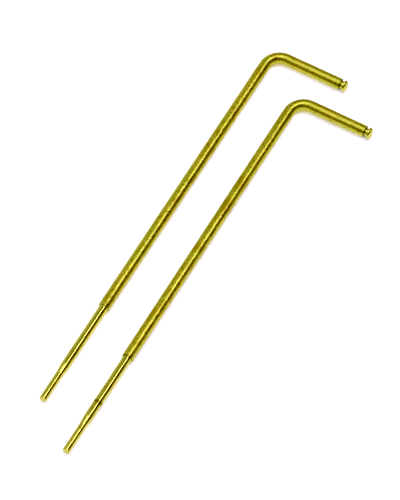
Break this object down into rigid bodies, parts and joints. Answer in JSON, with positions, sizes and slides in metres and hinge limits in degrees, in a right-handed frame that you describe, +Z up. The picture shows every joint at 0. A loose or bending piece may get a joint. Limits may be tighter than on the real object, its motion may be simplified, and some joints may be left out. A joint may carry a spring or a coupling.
{
  "type": "carburettor metering rod pair",
  "caption": "Matched pair of bent brass metering rods, each with a stepped, tapered metering pin at one end and a grooved button head on a short right-angled leg.",
  "frame": {"origin": "bottom centre of the box round both rods, on the surface that they lie on", "axes": "+Y along the long legs from the metering pins to the bends, +X along the short legs to the button heads, +Z up"},
  "size_m": [0.0248, 0.0898, 0.0021],
  "materials": {
    "brass": "satin drawn shank with bright turned pin, groove and head"
  },
  "bodies": {
    "left_rod": {"left_metering_rod": "brass"},
    "right_rod": {"right_metering_rod": "brass"}
  },
  "joints": [
    {"name": "right_rod_lift", "type": "slide", "parent": "left_rod", "child": "right_rod", "axis": [0, 0, 1], "range_m": [0, 0.03]}
  ]
}
